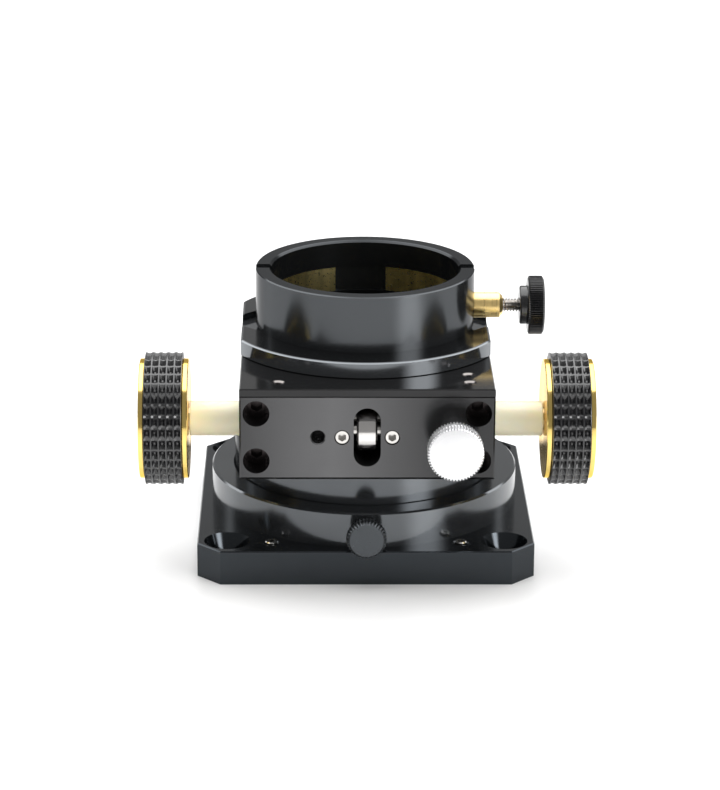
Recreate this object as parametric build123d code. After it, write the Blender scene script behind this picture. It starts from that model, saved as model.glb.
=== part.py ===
from build123d import *
import os
from math import cos, radians, sin, sqrt

# Low-profile two-inch friction-drive focuser with a rotating, collimatable base.
# Origin: centre of the base plate's underside.  +Z is the light path towards the
# eyepiece, -Y is the side with the focus shaft, +X is the eyepiece clamp's side.

# ---- base ------------------------------------------------------------------
PLATE_SIDE = 90.0
PLATE_THICK = 9.4
PLATE_CORNER = 6.3
PLATE_BORE_R = 32.05
MOUNT_HOLE_AT = 37.0
MOUNT_HOLE_R = 2.5
MOUNT_SINK_R = 6.2
RECESS_R = 35.2
RECESS_DEPTH = 2.8
COLLIMATION_X = 25.3
COLLIMATION_Y = 38.3
RING_OUTER_R = 42.0
RING_TOP = 19.0
RING_SCREW_R = 38.9

# ---- turret ----------------------------------------------------------------
PEDESTAL_R = 35.6
PEDESTAL_TOP = 30.1
NECK_R = 32.0
BODY_BORE_R = 29.1
ROTATION_GAP = 0.05
GROOVE_Z = 14.3
RETAINER_LOW = 0.5
RETAINER_HIGH = 2.7

BODY_HALF_X = 33.4
BODY_BACK = 38.0
HOUSING_FRONT = -46.5
HOUSING_BACK = -24.0
HOUSING_EDGE = 0.4
HOUSING_LOWER_EDGE = 0.8
BODY_TOP = 53.2
REAR_CHAMFER_R = 43.0
TOP_PLATE_TOP = 55.2

# ---- focus drive -----------------------------------------------------------
SHAFT_R = 3.0
SHAFT_Y = -31.0
SHAFT_Z = 41.95
SHAFT_HALF_LENGTH = 59.3
BUSH_OUTER_R = 4.65
BUSH_SPIGOT_R = 4.15
BUSH_SPIGOT_INNER_X = 26.6
KNOB_INNER_X = 47.0
KNOB_OUTER_X = 59.9
GRIP_INNER_X = 48.45
GRIP_OUTER_X = 58.5
GRIP_R = 17.55
KNOB_FLANGE_R = 15.9
KNOB_CORE_R = 13.6
KNOB_SCREW_X = 55.8

ROLLER_R = 5.7
ROLLER_WIDTH = 5.4
ROLLER_AXLE_R = 2.0
ROLLER_AXLE_HALF = 8.8
SLOT_DEPTH = 21.0
SLOT_WIDTH = 7.1
SLOT_HEIGHT = 16.1
TENSION_SCREW_X = 6.55
ACCESSORY_HOLE_X = -12.9
HOUSING_SCREW_X = 29.0
HOUSING_SCREW_DZ = 6.5
HOUSING_HOLE_R = 3.5
HOUSING_SEAT_Y = -35.4
ACCESSORY_HOLE_R = 1.75
ACCESSORY_HOLE_DEPTH = 8.0
LOCK_HOLE_DEPTH = 13.0

# ---- drawtube --------------------------------------------------------------
TUBE_R = 28.6
TUBE_BORE_R = 26.2
TUBE_LOW = 2.0
TUBE_FLAT_Y = -27.97
COLLAR_R = 38.0
COLLAR_HALF_X = 33.5
COLLAR_LOW = 55.4
COLLAR_TOP = 59.6
COLLAR_EDGE_RUN = 0.6
COLLAR_EDGE_DROP = 0.4
HOLDER_R = 29.75
EYEPIECE_BORE_R = 25.5
HOLDER_TOP = 75.0
SPIGOT_R = 27.4
SPIGOT_LOW = 57.5
BAND_LOW = 60.6
BAND_HIGH = 67.4
BAND_R = 26.2
GROOVE_R = 26.3
CLAMP_Z = 64.0

# ---- guide bearings --------------------------------------------------------
GUIDE_R = 4.0
GUIDE_WIDTH = 3.0
GUIDE_AXIS_R = TUBE_R + GUIDE_R + 0.04
GUIDE_LEVELS = (SHAFT_Z - 6.5, SHAFT_Z + 6.5)
GUIDE_PIN_R = 1.5
GUIDE_RACE_R = 2.5
CARRIER_HALF_T = 4.15
CARRIER_BACK_R = 39.4
CARRIER_WEB_R = 36.95
CARRIER_LOW = SHAFT_Z - 11.0
CARRIER_HIGH = SHAFT_Z + 11.0

# ---- hand screws -----------------------------------------------------------
HAND_NECK_R = 3.6
LOCK_X = 22.6
LOCK_R = 7.3
LOCK_FACE_Y = -60.0
LOCK_HEAD_BACK_Y = -54.5
LOCK_TRAVEL = 1.0
LOCK_PAD_LENGTH = 2.5
ROTATION_HEAD_R = 5.4
ROTATION_CHAMFER = 0.9
ROTATION_FACE_Y = -50.0
ROTATION_HEAD_BACK_Y = -46.6
ROTATION_TRAVEL = 1.2
CLAMP_KNOB_R = 8.0
CLAMP_COLLAR_R = 5.3
CLAMP_COLLAR_X = 42.1
CLAMP_HEAD_X = 44.3
CLAMP_HEAD_LENGTH = 4.6
CLAMP_STUD_END_X = 46.4
CLAMP_BUSH_R = 3.45
CLAMP_BUSH_PLUG_R = 2.96
CLAMP_BUSH_END_X = 37.5
CLAMP_TRAVEL = 4.3

# ---- screws and fits -------------------------------------------------------
M2_R = 1.0
M3_R = 1.5
M4_R = 2.0
COLLIMATION_SCREW_R = 1.6
COLLIMATION_MOUTH_R = 2.1
FIT_GAP = 0.04


def disc(radius, low, high):
    """Solid cylinder about Z between two heights."""
    return Pos(0, 0, (low + high) / 2) * Cylinder(radius, high - low)


def ring(outer, inner, low, high):
    """Round ring about Z between two heights."""
    return disc(outer, low, high) - disc(inner, low - 1, high + 1)


def block(x, y, z):
    """Box given by its (low, high) pairs."""
    size = (x[1] - x[0], y[1] - y[0], z[1] - z[0])
    centre = ((x[0] + x[1]) / 2, (y[0] + y[1]) / 2, (z[0] + z[1]) / 2)
    return Pos(*centre) * Box(*size)


def rod(start, direction, length, radius):
    """Solid cylinder from a start point along a direction."""
    frame = Plane(origin=start, z_dir=direction)
    return frame * Pos(0, 0, length / 2) * Cylinder(radius, length)


def cone(start, direction, length, start_r, end_r):
    """Solid frustum from a start point along a direction."""
    frame = Plane(origin=start, z_dir=direction)
    return frame * Pos(0, 0, length / 2) * Cone(start_r, end_r, length)


def hex_socket(start, direction, across_flats, depth):
    """Hexagonal socket, sunk from a start point along a direction."""
    corner_r = across_flats / sqrt(3)
    frame = Plane(origin=start, z_dir=direction)
    return extrude(frame * RegularPolygon(corner_r, 6), depth)


def set_screw(start, direction, length, radius, across_flats):
    """Headless screw with a chamfered mouth, socket and point."""
    lip = 0.15 * radius
    tip = [s + d * (length - lip) for s, d in zip(start, direction)]
    mouth = [s + d * lip for s, d in zip(start, direction)]
    body = rod(mouth, direction, length - 2 * lip, radius)
    body += cone(start, direction, lip, radius - lip, radius)
    body += cone(tip, direction, lip, radius, radius - lip)
    return body - hex_socket(start, direction, across_flats, length * 0.5)


def cap_screw(start, direction, length, radius):
    """Socket-head cap screw; the start point is the top of its head."""
    head_r = radius * 1.72
    head_h = radius * 2.0
    neck = [s + d * head_h for s, d in zip(start, direction)]
    body = rod(start, direction, head_h, head_r)
    body += rod(neck, direction, length, radius)
    return body - hex_socket(start, direction, radius * 1.5, radius)


def flat_screw(start, direction, length, radius):
    """Countersunk screw; the start point is the middle of its flat head."""
    head_r = radius * 1.85
    sink = head_r - radius
    neck = [s + d * sink for s, d in zip(start, direction)]
    body = cone(start, direction, sink, head_r, radius)
    body += rod(neck, direction, length - sink, radius)
    return body - hex_socket(start, direction, radius * 1.25, sink * 0.9)


def screw_hole(start, direction, length, radius):
    """Countersunk clearance hole that suits flat_screw."""
    head_r = radius * 1.85 + FIT_GAP
    sink = head_r - radius
    past = [s - d * 1.0 for s, d in zip(start, direction)]
    hole = cone(start, direction, sink, head_r, radius + FIT_GAP)
    hole += rod(past, direction, 1.0, head_r)
    return hole + rod(start, direction, length, radius + FIT_GAP)


def at_angle(radius, angle, z):
    """Point at a radius and an angle from +Y, turned towards +X."""
    return (radius * sin(radians(angle)), radius * cos(radians(angle)), z)


def outline(half_x, front, back, chamfer_r):
    """Body outline in plan: a rectangle whose rear corners are cut at 45 degrees."""
    rise = chamfer_r * sqrt(2) - half_x
    run = chamfer_r * sqrt(2) - back
    return make_face(Polyline(
        (-half_x, front), (half_x, front), (half_x, rise), (run, back),
        (-run, back), (-half_x, rise), close=True))


# ---- base body -------------------------------------------------------------
RING_SCREW_ANGLES = (45, 135, 225, 315)
RING_SCREW_LENGTH = 15.0
MOUNT_SINK_DEPTH = 7.4
RING_SCREWS = [at_angle(RING_SCREW_R, a, 0.3) for a in RING_SCREW_ANGLES]
COLLIMATION = [(sx * COLLIMATION_X, sy * COLLIMATION_Y) for sx in (-1, 1) for sy in (-1, 1)]
UP = (0, 0, 1)
DOWN = (0, 0, -1)
FRONT_IN = (0, 1, 0)


def base_plate():
    """Square plate with cut corners, deep countersinks and the turret's bore."""
    half = PLATE_SIDE / 2
    body = block((-half, half), (-half, half), (0, PLATE_THICK))
    body = chamfer(body.edges().filter_by(Axis.Z), PLATE_CORNER)
    body = chamfer(body.faces().sort_by(Axis.Z)[-1].outer_wire().edges(), 0.3)
    body -= disc(PLATE_BORE_R, -1, PLATE_THICK + 1)
    body -= disc(RECESS_R, -1, RECESS_DEPTH)
    for sx in (-1, 1):
        for sy in (-1, 1):
            top = (sx * MOUNT_HOLE_AT, sy * MOUNT_HOLE_AT, PLATE_THICK)
            body -= cone(top, DOWN, MOUNT_SINK_DEPTH, MOUNT_SINK_R, MOUNT_HOLE_R + 0.6)
            body -= rod(top, DOWN, PLATE_THICK + 1, MOUNT_HOLE_R)
    for x, y in COLLIMATION:
        body -= rod((x, y, -1), UP, PLATE_THICK + 2, COLLIMATION_SCREW_R + FIT_GAP)
        body -= cone((x, y, PLATE_THICK), DOWN, 0.5, COLLIMATION_MOUTH_R, COLLIMATION_SCREW_R)
    for point in RING_SCREWS:
        body -= screw_hole(point, UP, PLATE_THICK + 1, M3_R)
    return body


def base_ring():
    """Bearing ring around the turret, tapped for the rotation clamp."""
    body = ring(RING_OUTER_R, PEDESTAL_R + ROTATION_GAP, PLATE_THICK, RING_TOP)
    body = chamfer(body.edges().filter_by(GeomType.CIRCLE).group_by(Axis.Z)[-1], 0.45)
    body -= rod((0, -RING_OUTER_R - 1, GROOVE_Z), FRONT_IN, 8, M4_R + FIT_GAP)
    for x, y, z in RING_SCREWS:
        body -= rod((x, y, PLATE_THICK - 1), UP, 7.2, M3_R + FIT_GAP)
    return body


def ring_screws():
    """Countersunk screws that hold the ring from under the plate."""
    return [flat_screw(point, UP, RING_SCREW_LENGTH, M3_R) for point in RING_SCREWS]


def collimation_screws():
    """Set screws that tilt the plate on the telescope tube."""
    top = PLATE_THICK + 0.5
    return [set_screw((x, y, top), DOWN, PLATE_THICK, COLLIMATION_SCREW_R, 1.5) for x, y in COLLIMATION]


# ---- turret body -----------------------------------------------------------
ROLLER_Y = SHAFT_Y - SHAFT_R - FIT_GAP - ROLLER_R
BODY_SCREWS = [(10.0, 30.7), (-10.0, 30.7), (30.4, -12.0), (-30.4, -12.0)]
RETAINER_SCREW_R = 30.6
RETAINER_ANGLES = [30 + 60 * i for i in range(6)]
HOUSING_SCREWS = [(sx * HOUSING_SCREW_X, SHAFT_Z + sz * HOUSING_SCREW_DZ)
                  for sx in (-1, 1) for sz in (-1, 1)]
TOP_SCREWS = [(-23.3, -40.7), (27.0, -40.7), (26.9, -34.2), (-21.0, 35.0), (21.0, 35.0)]
BODY_SCREW_LENGTH = 31.0
HOUSING_SCREW_LENGTH = 20.0
RETAINER_SCREW_LENGTH = 7.0
GROOVE_DEPTH = 1.4
TOP_SCREW_LENGTH = 3.8
TOP_SCREW_HOLE = 1.9
DISH_R = 1.75
DISH_RUN = 0.6
DISH_DEPTH = 0.35


def turret_pedestal():
    """Round foot of the turret, with the clamp's groove and a neck through the plate."""
    low = PLATE_THICK + ROTATION_GAP
    body = disc(PEDESTAL_R, low, PEDESTAL_TOP) + disc(NECK_R, RETAINER_HIGH, low + 1)
    body -= disc(BODY_BORE_R, 0, PEDESTAL_TOP + 1)
    groove = Polyline(
        (PEDESTAL_R + 0.6, GROOVE_Z - 2.6), (PEDESTAL_R - GROOVE_DEPTH, GROOVE_Z - 0.7),
        (PEDESTAL_R - GROOVE_DEPTH, GROOVE_Z + 0.7), (PEDESTAL_R + 0.6, GROOVE_Z + 2.6), close=True)
    body -= revolve(Plane.XZ * make_face(groove), Axis.Z)
    for x, y in BODY_SCREWS:
        body -= rod((x, y, PEDESTAL_TOP + 1), DOWN, 10.5, M3_R + FIT_GAP)
    for angle in RETAINER_ANGLES:
        start = at_angle(RETAINER_SCREW_R, angle, RETAINER_HIGH - 1)
        body -= rod(start, UP, 6.6, M2_R + FIT_GAP)
    return body


def retaining_ring():
    """Ring in the plate's recess that keeps the turret down."""
    body = ring(RECESS_R - 0.3, BODY_BORE_R, RETAINER_LOW, RETAINER_HIGH - 0.02)
    for angle in RETAINER_ANGLES:
        body -= screw_hole(at_angle(RETAINER_SCREW_R, angle, RETAINER_LOW), UP, 4, M2_R)
    return body


def retaining_screws():
    """Small countersunk screws from the retaining ring into the neck."""
    starts = [at_angle(RETAINER_SCREW_R, a, RETAINER_LOW) for a in RETAINER_ANGLES]
    return [flat_screw(start, UP, RETAINER_SCREW_LENGTH, M2_R) for start in starts]


def carrier_frame(side):
    """Plane at the light path's axis whose X is radial, towards a rear corner."""
    angle = 45 * side
    radial = (sin(radians(angle)), cos(radians(angle)), 0)
    return Plane(origin=(0, 0, 0), x_dir=radial, z_dir=UP)


def main_body():
    """Rear block around the drawtube, with a pocket for each bearing carrier."""
    plan = outline(BODY_HALF_X, HOUSING_BACK, BODY_BACK, REAR_CHAMFER_R)
    body = Pos(0, 0, PEDESTAL_TOP) * extrude(plan, BODY_TOP - PEDESTAL_TOP)
    body -= disc(BODY_BORE_R, PEDESTAL_TOP - 1, BODY_TOP + 1)
    for side in (-1, 1):
        frame = carrier_frame(side)
        half_t = CARRIER_HALF_T + 0.1
        pocket = block((24, CARRIER_BACK_R + 0.1), (-half_t, half_t),
                       (CARRIER_LOW - 0.1, BODY_TOP + 1))
        body -= frame * pocket
        for z in GUIDE_LEVELS:
            body -= frame * rod((CARRIER_BACK_R - 1, 0, z), (1, 0, 0), 8, M3_R + FIT_GAP)
            body -= frame * rod((REAR_CHAMFER_R - 1.7, 0, z), (1, 0, 0), 4, 2.8)
    for x, z in HOUSING_SCREWS:
        body -= rod((x, HOUSING_BACK - 1, z), FRONT_IN, 13, M4_R + FIT_GAP)
    for x, y in BODY_SCREWS:
        body -= screw_hole((x, y, BODY_TOP - 0.1), DOWN, 26, M3_R)
    for x, y in TOP_SCREWS:
        body -= rod((x, y, BODY_TOP + 1), DOWN, TOP_SCREW_HOLE + 1, M2_R + FIT_GAP)
    return body


def front_housing():
    """Bar that carries the shaft, the pressure roller and the lock screw."""
    body = block((-BODY_HALF_X, BODY_HALF_X), (HOUSING_FRONT, HOUSING_BACK), (PEDESTAL_TOP, BODY_TOP))
    front_edges = body.faces().sort_by(Axis.Y)[0].edges().sort_by(Axis.Z)
    body = chamfer(front_edges[1:], HOUSING_EDGE)
    lower_edge = body.faces().sort_by(Axis.Y)[0].edges().sort_by(Axis.Z)[0]
    body = chamfer(lower_edge, HOUSING_LOWER_EDGE)
    body -= disc(BODY_BORE_R, PEDESTAL_TOP - 1, BODY_TOP + 1)
    shaft_start = (-BODY_HALF_X - 1, SHAFT_Y, SHAFT_Z)
    body -= rod(shaft_start, (1, 0, 0), 2 * BODY_HALF_X + 2, SHAFT_R + 0.3)
    for side in (-1, 1):
        spigot_start = (side * (BUSH_SPIGOT_INNER_X - 0.1), SHAFT_Y, SHAFT_Z)
        body -= rod(spigot_start, (side, 0, 0), 10, BUSH_SPIGOT_R + FIT_GAP)
    slot = SlotOverall(SLOT_HEIGHT, SLOT_WIDTH, rotation=90)
    slot_plane = Plane(origin=(0, HOUSING_FRONT - 1, SHAFT_Z), x_dir=(1, 0, 0), z_dir=(0, 1, 0))
    body -= extrude(slot_plane * slot, SLOT_DEPTH + 1)
    axle_gap = ROLLER_AXLE_R + FIT_GAP
    body -= block((-ROLLER_AXLE_HALF - 0.1, ROLLER_AXLE_HALF + 0.1),
                  (ROLLER_Y - axle_gap, SHAFT_Y), (SHAFT_Z - axle_gap, SHAFT_Z + axle_gap))
    for side in (-1, 1):
        tension_start = (side * TENSION_SCREW_X, HOUSING_FRONT - 1, SHAFT_Z)
        body -= rod(tension_start, FRONT_IN, 7, M4_R + FIT_GAP)
    accessory_start = (ACCESSORY_HOLE_X, HOUSING_FRONT, SHAFT_Z)
    body -= rod(accessory_start, FRONT_IN, ACCESSORY_HOLE_DEPTH, ACCESSORY_HOLE_R)
    body -= cone(accessory_start, FRONT_IN, 0.3, ACCESSORY_HOLE_R + 0.3, ACCESSORY_HOLE_R)
    body -= rod((LOCK_X, HOUSING_FRONT - 1, SHAFT_Z), FRONT_IN, LOCK_HOLE_DEPTH + 1, M4_R + FIT_GAP)
    for x, z in HOUSING_SCREWS:
        counterbore = HOUSING_SEAT_Y - HOUSING_FRONT
        body -= rod((x, HOUSING_FRONT - 1, z), FRONT_IN, counterbore + 1, HOUSING_HOLE_R)
        body -= rod((x, HOUSING_FRONT, z), FRONT_IN, 30, M4_R + FIT_GAP)
    for x, y in TOP_SCREWS:
        body -= rod((x, y, BODY_TOP + 1), DOWN, TOP_SCREW_HOLE + 1, M2_R + FIT_GAP)
    return body


def housing_screws():
    """Cap screws that hold the front housing to the main body."""
    head_h = 2 * M4_R
    starts = [(x, HOUSING_SEAT_Y - head_h, z) for x, z in HOUSING_SCREWS]
    return [cap_screw(start, FRONT_IN, HOUSING_SCREW_LENGTH, M4_R) for start in starts]


def body_screws():
    """Long countersunk screws from the main body down into the pedestal."""
    return [flat_screw((x, y, BODY_TOP - 0.1), DOWN, BODY_SCREW_LENGTH, M3_R) for x, y in BODY_SCREWS]


def top_plate():
    """Cover over the housing and the main body."""
    plan = outline(BODY_HALF_X, HOUSING_FRONT, BODY_BACK, REAR_CHAMFER_R)
    body = Pos(0, 0, BODY_TOP) * extrude(plan, TOP_PLATE_TOP - BODY_TOP)
    body = chamfer(body.faces().sort_by(Axis.Z)[-1].outer_wire().edges(), 0.3)
    body -= disc(BODY_BORE_R, BODY_TOP - 1, TOP_PLATE_TOP + 1)
    for x, y in TOP_SCREWS:
        body -= screw_hole((x, y, TOP_PLATE_TOP - 0.05), DOWN, 4, M2_R)
    return body


def top_plate_screws():
    """Small countersunk screws through the cover, dished around their sockets."""
    top = TOP_PLATE_TOP - 0.05
    dished = []
    for x, y in TOP_SCREWS:
        screw = flat_screw((x, y, top), DOWN, TOP_SCREW_LENGTH, M2_R)
        dished.append(screw - cone((x, y, top), DOWN, DISH_DEPTH, DISH_R, DISH_R - DISH_RUN))
    return dished


# ---- focus shaft and its bearings ------------------------------------------
def shaft_bushing(side):
    """Stepped nylon bushing between the housing and a knob."""
    outer_len = KNOB_INNER_X - 0.2 - BODY_HALF_X
    spigot_len = BODY_HALF_X - BUSH_SPIGOT_INNER_X
    shoulder = (side * BODY_HALF_X, SHAFT_Y, SHAFT_Z)
    body = rod(shoulder, (side, 0, 0), outer_len, BUSH_OUTER_R)
    body = chamfer(body.edges().filter_by(GeomType.CIRCLE), 0.25)
    body += rod(shoulder, (-side, 0, 0), spigot_len, BUSH_SPIGOT_R)
    bore_start = (-SHAFT_HALF_LENGTH, SHAFT_Y, SHAFT_Z)
    return body - rod(bore_start, (1, 0, 0), 2 * SHAFT_HALF_LENGTH, SHAFT_R + FIT_GAP)


def focus_shaft():
    """Ground steel shaft with chamfered ends."""
    body = rod((-SHAFT_HALF_LENGTH, SHAFT_Y, SHAFT_Z), (1, 0, 0), 2 * SHAFT_HALF_LENGTH, SHAFT_R)
    return chamfer(body.edges().filter_by(GeomType.CIRCLE), 0.4)


def focus_knob(side):
    """Spool-shaped knob: two flanges and a core under the grip."""
    start = (side * KNOB_INNER_X, SHAFT_Y, SHAFT_Z)
    flange_len = GRIP_INNER_X - KNOB_INNER_X
    out = (side, 0, 0)
    outer_flange_at = (side * GRIP_OUTER_X, SHAFT_Y, SHAFT_Z)
    inner = rod(start, out, flange_len, KNOB_FLANGE_R)
    outer = rod(outer_flange_at, out, KNOB_OUTER_X - GRIP_OUTER_X, KNOB_FLANGE_R)
    inner = chamfer(inner.edges().filter_by(GeomType.CIRCLE), 0.2)
    outer = chamfer(outer.edges().filter_by(GeomType.CIRCLE), 0.2)
    body = inner + outer + rod(start, out, KNOB_OUTER_X - KNOB_INNER_X - 0.5, KNOB_CORE_R)
    shaft_depth = SHAFT_HALF_LENGTH + 0.1 - KNOB_INNER_X
    body -= rod(start, out, shaft_depth, SHAFT_R + 0.02)
    return body - rod((side * KNOB_SCREW_X, SHAFT_Y, SHAFT_Z), UP, 20, M3_R + FIT_GAP)


def knob_grip(side):
    """Rubber sleeve around a knob's core."""
    start = (side * (GRIP_INNER_X + 0.05), SHAFT_Y, SHAFT_Z)
    length = GRIP_OUTER_X - GRIP_INNER_X - 0.1
    body = rod(start, (side, 0, 0), length, GRIP_R)
    body = chamfer(body.edges().filter_by(GeomType.CIRCLE), 0.6)
    return body - rod(start, (side, 0, 0), length, KNOB_CORE_R + 0.02)


def knob_set_screws():
    """One headless screw in each knob's core, bearing on the shaft."""
    start_z = SHAFT_Z + KNOB_CORE_R - 0.3
    length = start_z - SHAFT_Z - SHAFT_R - 0.02
    starts = [(side * KNOB_SCREW_X, SHAFT_Y, start_z) for side in (-1, 1)]
    return [set_screw(start, DOWN, length, M3_R, 1.5) for start in starts]


def pressure_roller():
    """Hardened roller that presses the shaft against the drawtube."""
    start = (-ROLLER_WIDTH / 2, ROLLER_Y, SHAFT_Z)
    body = rod(start, (1, 0, 0), ROLLER_WIDTH, ROLLER_R)
    body = chamfer(body.edges().filter_by(GeomType.CIRCLE), 0.5)
    return body - rod((-10, ROLLER_Y, SHAFT_Z), (1, 0, 0), 20, ROLLER_AXLE_R + FIT_GAP)


def roller_axle():
    """Dowel through the pressure roller."""
    start = (-ROLLER_AXLE_HALF, ROLLER_Y, SHAFT_Z)
    body = rod(start, (1, 0, 0), 2 * ROLLER_AXLE_HALF, ROLLER_AXLE_R)
    return chamfer(body.edges().filter_by(GeomType.CIRCLE), 0.3)


def tension_screws():
    """Headless screws that push the roller's axle inwards."""
    length = ROLLER_Y - ROLLER_AXLE_R - HOUSING_FRONT - 0.2
    starts = [(side * TENSION_SCREW_X, HOUSING_FRONT + 0.15, SHAFT_Z) for side in (-1, 1)]
    return [set_screw(start, FRONT_IN, length, M4_R, 2.0) for start in starts]


# ---- guide bearings --------------------------------------------------------
def bearing_carrier(side):
    """Fork with two cheeks and a web, sliding radially in its pocket."""
    body = block((29.6, CARRIER_BACK_R), (-CARRIER_HALF_T, CARRIER_HALF_T), (CARRIER_LOW, CARRIER_HIGH))
    body -= block((20, CARRIER_WEB_R), (-1.95, 1.95), (CARRIER_LOW - 1, CARRIER_HIGH + 1))
    body -= rod((0, 0, CARRIER_LOW - 1), UP, 30, TUBE_R + 0.5)
    for z in GUIDE_LEVELS:
        body -= rod((GUIDE_AXIS_R, -10, z), (0, 1, 0), 20, GUIDE_PIN_R + 0.02)
    return carrier_frame(side) * body


def guide_bearing(side, level):
    """Outer ring of a guide bearing that rolls along the drawtube."""
    start = (GUIDE_AXIS_R, -GUIDE_WIDTH / 2, GUIDE_LEVELS[level])
    body = rod(start, (0, 1, 0), GUIDE_WIDTH, GUIDE_R)
    body = chamfer(body.edges().filter_by(GeomType.CIRCLE), 0.2)
    body -= rod((GUIDE_AXIS_R, -10, GUIDE_LEVELS[level]), (0, 1, 0), 20, GUIDE_RACE_R + FIT_GAP)
    return carrier_frame(side) * body


def guide_races():
    """Inner rings of the four guide bearings."""
    made = []
    for side in (-1, 1):
        for z in GUIDE_LEVELS:
            start = (GUIDE_AXIS_R, -1.85, z)
            body = rod(start, (0, 1, 0), 3.7, GUIDE_RACE_R)
            body -= rod((GUIDE_AXIS_R, -10, z), (0, 1, 0), 20, GUIDE_PIN_R + 0.02)
            made.append(carrier_frame(side) * body)
    return made


def guide_pins():
    """Pins that carry the guide bearings in their forks."""
    made = []
    for side in (-1, 1):
        for z in GUIDE_LEVELS:
            start = (GUIDE_AXIS_R, -CARRIER_HALF_T, z)
            made.append(carrier_frame(side) * rod(start, (0, 1, 0), 2 * CARRIER_HALF_T, GUIDE_PIN_R))
    return made


def carrier_screws():
    """Headless screws in the rear corner faces that set the carriers' depth."""
    made = []
    for side in (-1, 1):
        for z in GUIDE_LEVELS:
            start_r = REAR_CHAMFER_R - 0.4
            length = start_r - CARRIER_BACK_R - 0.02
            body = set_screw((start_r, 0, z), (-1, 0, 0), length, M3_R, 1.5)
            made.append(carrier_frame(side) * body)
    return made


# ---- drawtube body ---------------------------------------------------------
NOTCH_WIDTH = 3.5
NOTCH_DEPTH = 2.0
BAND_GAP_LEFT = -7.9
BAND_GAP_RIGHT = 6.2


def drawtube():
    """Sliding tube with a flat for the focus shaft."""
    body = ring(TUBE_R, TUBE_BORE_R, TUBE_LOW, SPIGOT_LOW - 0.05)
    return body - block((-20, 20), (-60, TUBE_FLAT_Y), (0, COLLAR_LOW - 0.3))


def drawtube_collar():
    """Flanged collar on the drawtube, cut flat at both sides and notched on top."""
    body = disc(COLLAR_R, COLLAR_LOW, COLLAR_TOP)
    body &= block((-COLLAR_HALF_X, COLLAR_HALF_X), (-50, 50), (COLLAR_LOW, COLLAR_TOP))
    rim = body.faces().sort_by(Axis.Z)[-1]
    body = chamfer(rim.outer_wire().edges(), COLLAR_EDGE_RUN, COLLAR_EDGE_DROP, reference=rim)
    body -= disc(TUBE_R + 0.02, COLLAR_LOW - 1, SPIGOT_LOW)
    body -= disc(SPIGOT_R + 0.02, SPIGOT_LOW - 1, COLLAR_TOP + 1)
    for side in (-1, 1):
        notch = make_face(Polyline(
            (side * (COLLAR_HALF_X + 1), -4.1), (side * (COLLAR_HALF_X + 1), 4.1),
            (side * HOLDER_R, 8.8), (side * 27.0, 8.8), (side * 27.0, -8.8),
            (side * HOLDER_R, -8.8), close=True))
        body -= Pos(0, 0, COLLAR_TOP - 1.7) * extrude(notch, 4)
    return body


def eyepiece_holder():
    """Ring that takes the eyepiece, grooved inside for the compression band."""
    body = disc(HOLDER_R, COLLAR_TOP + 0.02, HOLDER_TOP)
    body = chamfer(body.edges().group_by(Axis.Z)[-1], 0.3)
    body += disc(SPIGOT_R, SPIGOT_LOW, COLLAR_TOP + 0.1)
    body -= disc(EYEPIECE_BORE_R, SPIGOT_LOW - 1, HOLDER_TOP + 1)
    body -= cone((0, 0, HOLDER_TOP), DOWN, 0.6, EYEPIECE_BORE_R + 0.6, EYEPIECE_BORE_R)
    body -= disc(GROOVE_R, BAND_LOW - 0.1, BAND_HIGH + 0.1)
    half = NOTCH_WIDTH / 2
    body -= block((-40, 40), (-half, half), (HOLDER_TOP - NOTCH_DEPTH, HOLDER_TOP + 1))
    body -= rod((20, 0, CLAMP_Z), (1, 0, 0), 20, 3.0)
    return body


def compression_band():
    """Split brass band in the holder's groove."""
    body = ring(BAND_R, EYEPIECE_BORE_R + 0.1, BAND_LOW, BAND_HIGH)
    return body - block((BAND_GAP_LEFT, BAND_GAP_RIGHT), (10, 40), (BAND_LOW - 1, BAND_HIGH + 1))


def clamp_bushing():
    """Brass bushing, tapped for the clamp screw."""
    start_x = HOLDER_R - 0.1
    body = rod((start_x, 0, CLAMP_Z), (1, 0, 0), CLAMP_BUSH_END_X - start_x, CLAMP_BUSH_R)
    body = chamfer(body.edges().filter_by(GeomType.CIRCLE).sort_by(Axis.X)[-1], 0.9)
    body -= disc(HOLDER_R + 0.02, COLLAR_TOP, HOLDER_TOP)
    body += rod((GROOVE_R + 0.4, 0, CLAMP_Z), (1, 0, 0), 5, CLAMP_BUSH_PLUG_R)
    return body - rod((20, 0, CLAMP_Z), (1, 0, 0), 30, M4_R + FIT_GAP)


# ---- hand screws: a sliding stud and a turning head ------------------------
def clamp_stud():
    """Threaded rod of the eyepiece clamp."""
    start_x = BAND_R + 0.15 + CLAMP_TRAVEL
    body = rod((start_x, 0, CLAMP_Z), (1, 0, 0), CLAMP_STUD_END_X - start_x, M4_R)
    return chamfer(body.edges().filter_by(GeomType.CIRCLE), 0.35)


def clamp_knob():
    """Head of the eyepiece clamp: smooth collar, rim and shallow dome."""
    start = (CLAMP_COLLAR_X, 0, CLAMP_Z)
    body = rod(start, (1, 0, 0), CLAMP_HEAD_X + 1 - CLAMP_COLLAR_X, CLAMP_COLLAR_R)
    head = rod((CLAMP_HEAD_X, 0, CLAMP_Z), (1, 0, 0), CLAMP_HEAD_LENGTH, CLAMP_KNOB_R)
    body += chamfer(head.edges().filter_by(GeomType.CIRCLE), 0.5)
    return body - rod(start, (1, 0, 0), CLAMP_STUD_END_X + 0.1 - CLAMP_COLLAR_X, M4_R + FIT_GAP)


def lock_stud():
    """Threaded rod of the focus lock."""
    pad_front = SHAFT_Y - SHAFT_R - LOCK_TRAVEL - LOCK_PAD_LENGTH
    start_y = LOCK_FACE_Y + 2.0
    body = rod((LOCK_X, start_y, SHAFT_Z), FRONT_IN, pad_front - start_y - 0.02, M4_R)
    return chamfer(body.edges().filter_by(GeomType.CIRCLE), 0.35)


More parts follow.
